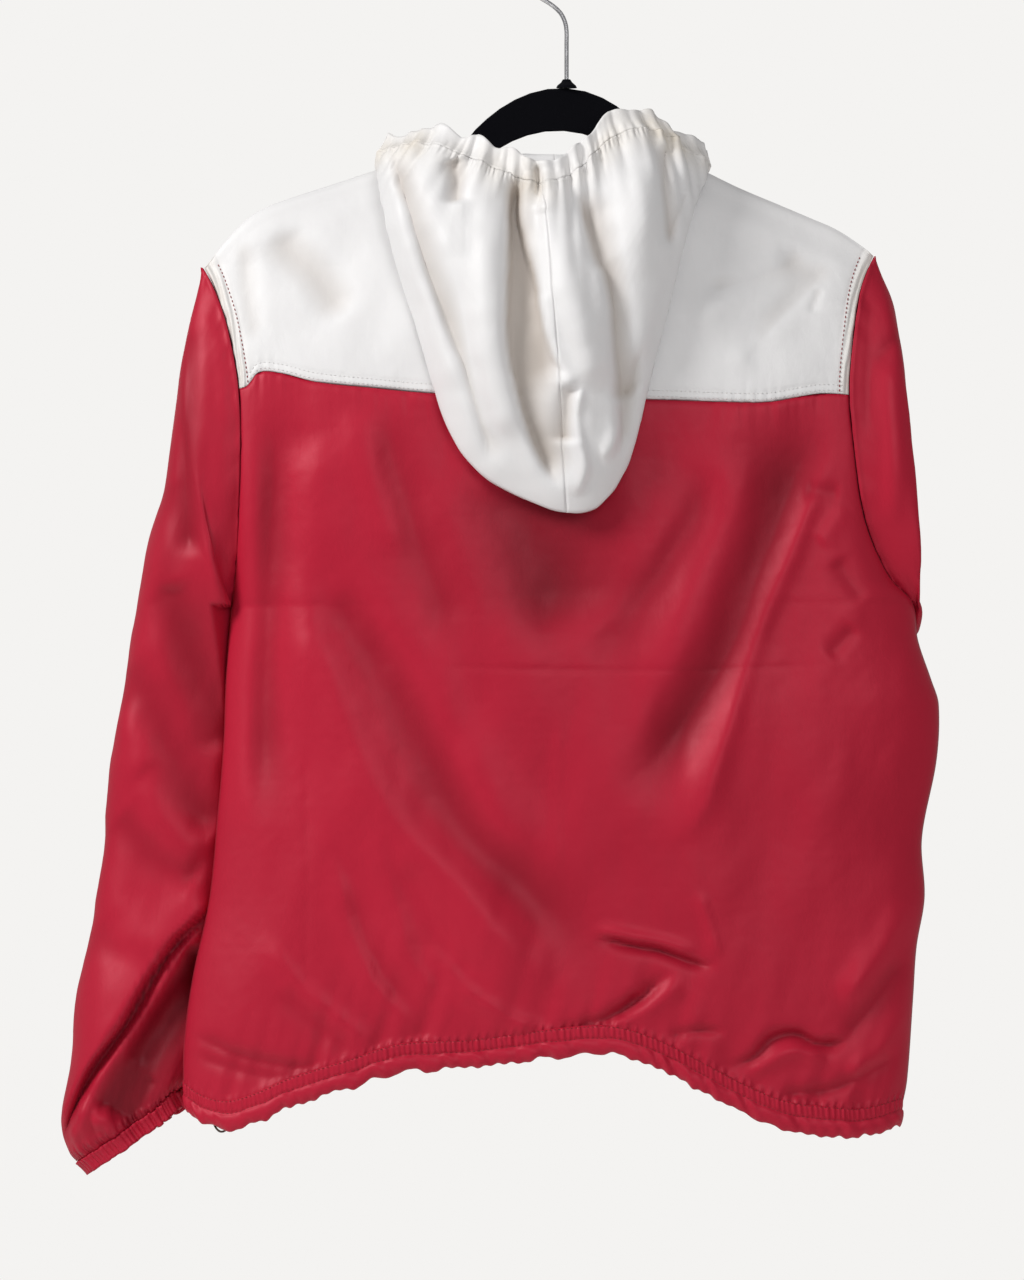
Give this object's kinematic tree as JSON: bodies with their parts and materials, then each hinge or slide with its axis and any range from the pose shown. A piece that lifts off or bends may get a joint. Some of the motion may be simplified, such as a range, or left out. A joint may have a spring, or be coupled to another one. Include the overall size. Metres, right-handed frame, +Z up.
{
  "type": "anorak pullover on a hanger",
  "caption": "Hooded pullover anorak with a white yoke and red body, drawn-in hem and cuffs, hung on a slim hanger with a wire hook.",
  "frame": {"origin": "inner top of the hook's crook, where a rod carries the hanger", "axes": "+Z up, +Y out of the anorak's back, +X to the wearer's left"},
  "size_m": [0.6551, 0.2165, 0.9104],
  "materials": {
    "white_shell": "white woven nylon with a soft sheen",
    "red_shell": "red woven nylon with a satin sheen",
    "black_flock": "black flocked plastic",
    "chrome_wire": "bright plated wire",
    "dark_cord": "dark braided cord"
  },
  "bodies": {
    "root": {"back_yoke": "white_shell", "front_yoke": "white_shell", "hood_left": "white_shell", "hood_right": "white_shell", "hood_casing": "white_shell", "back_body": "red_shell", "front_body": "red_shell", "sleeve_left": "red_shell", "sleeve_right": "red_shell", "cuff_left": "red_shell", "cuff_right": "red_shell", "hem_casing": "red_shell", "hem_cord_loop": "dark_cord", "hanger_body": "black_flock", "hanger_collar": "black_flock", "hanger_hook": "chrome_wire"}
  },
  "joints": []
}
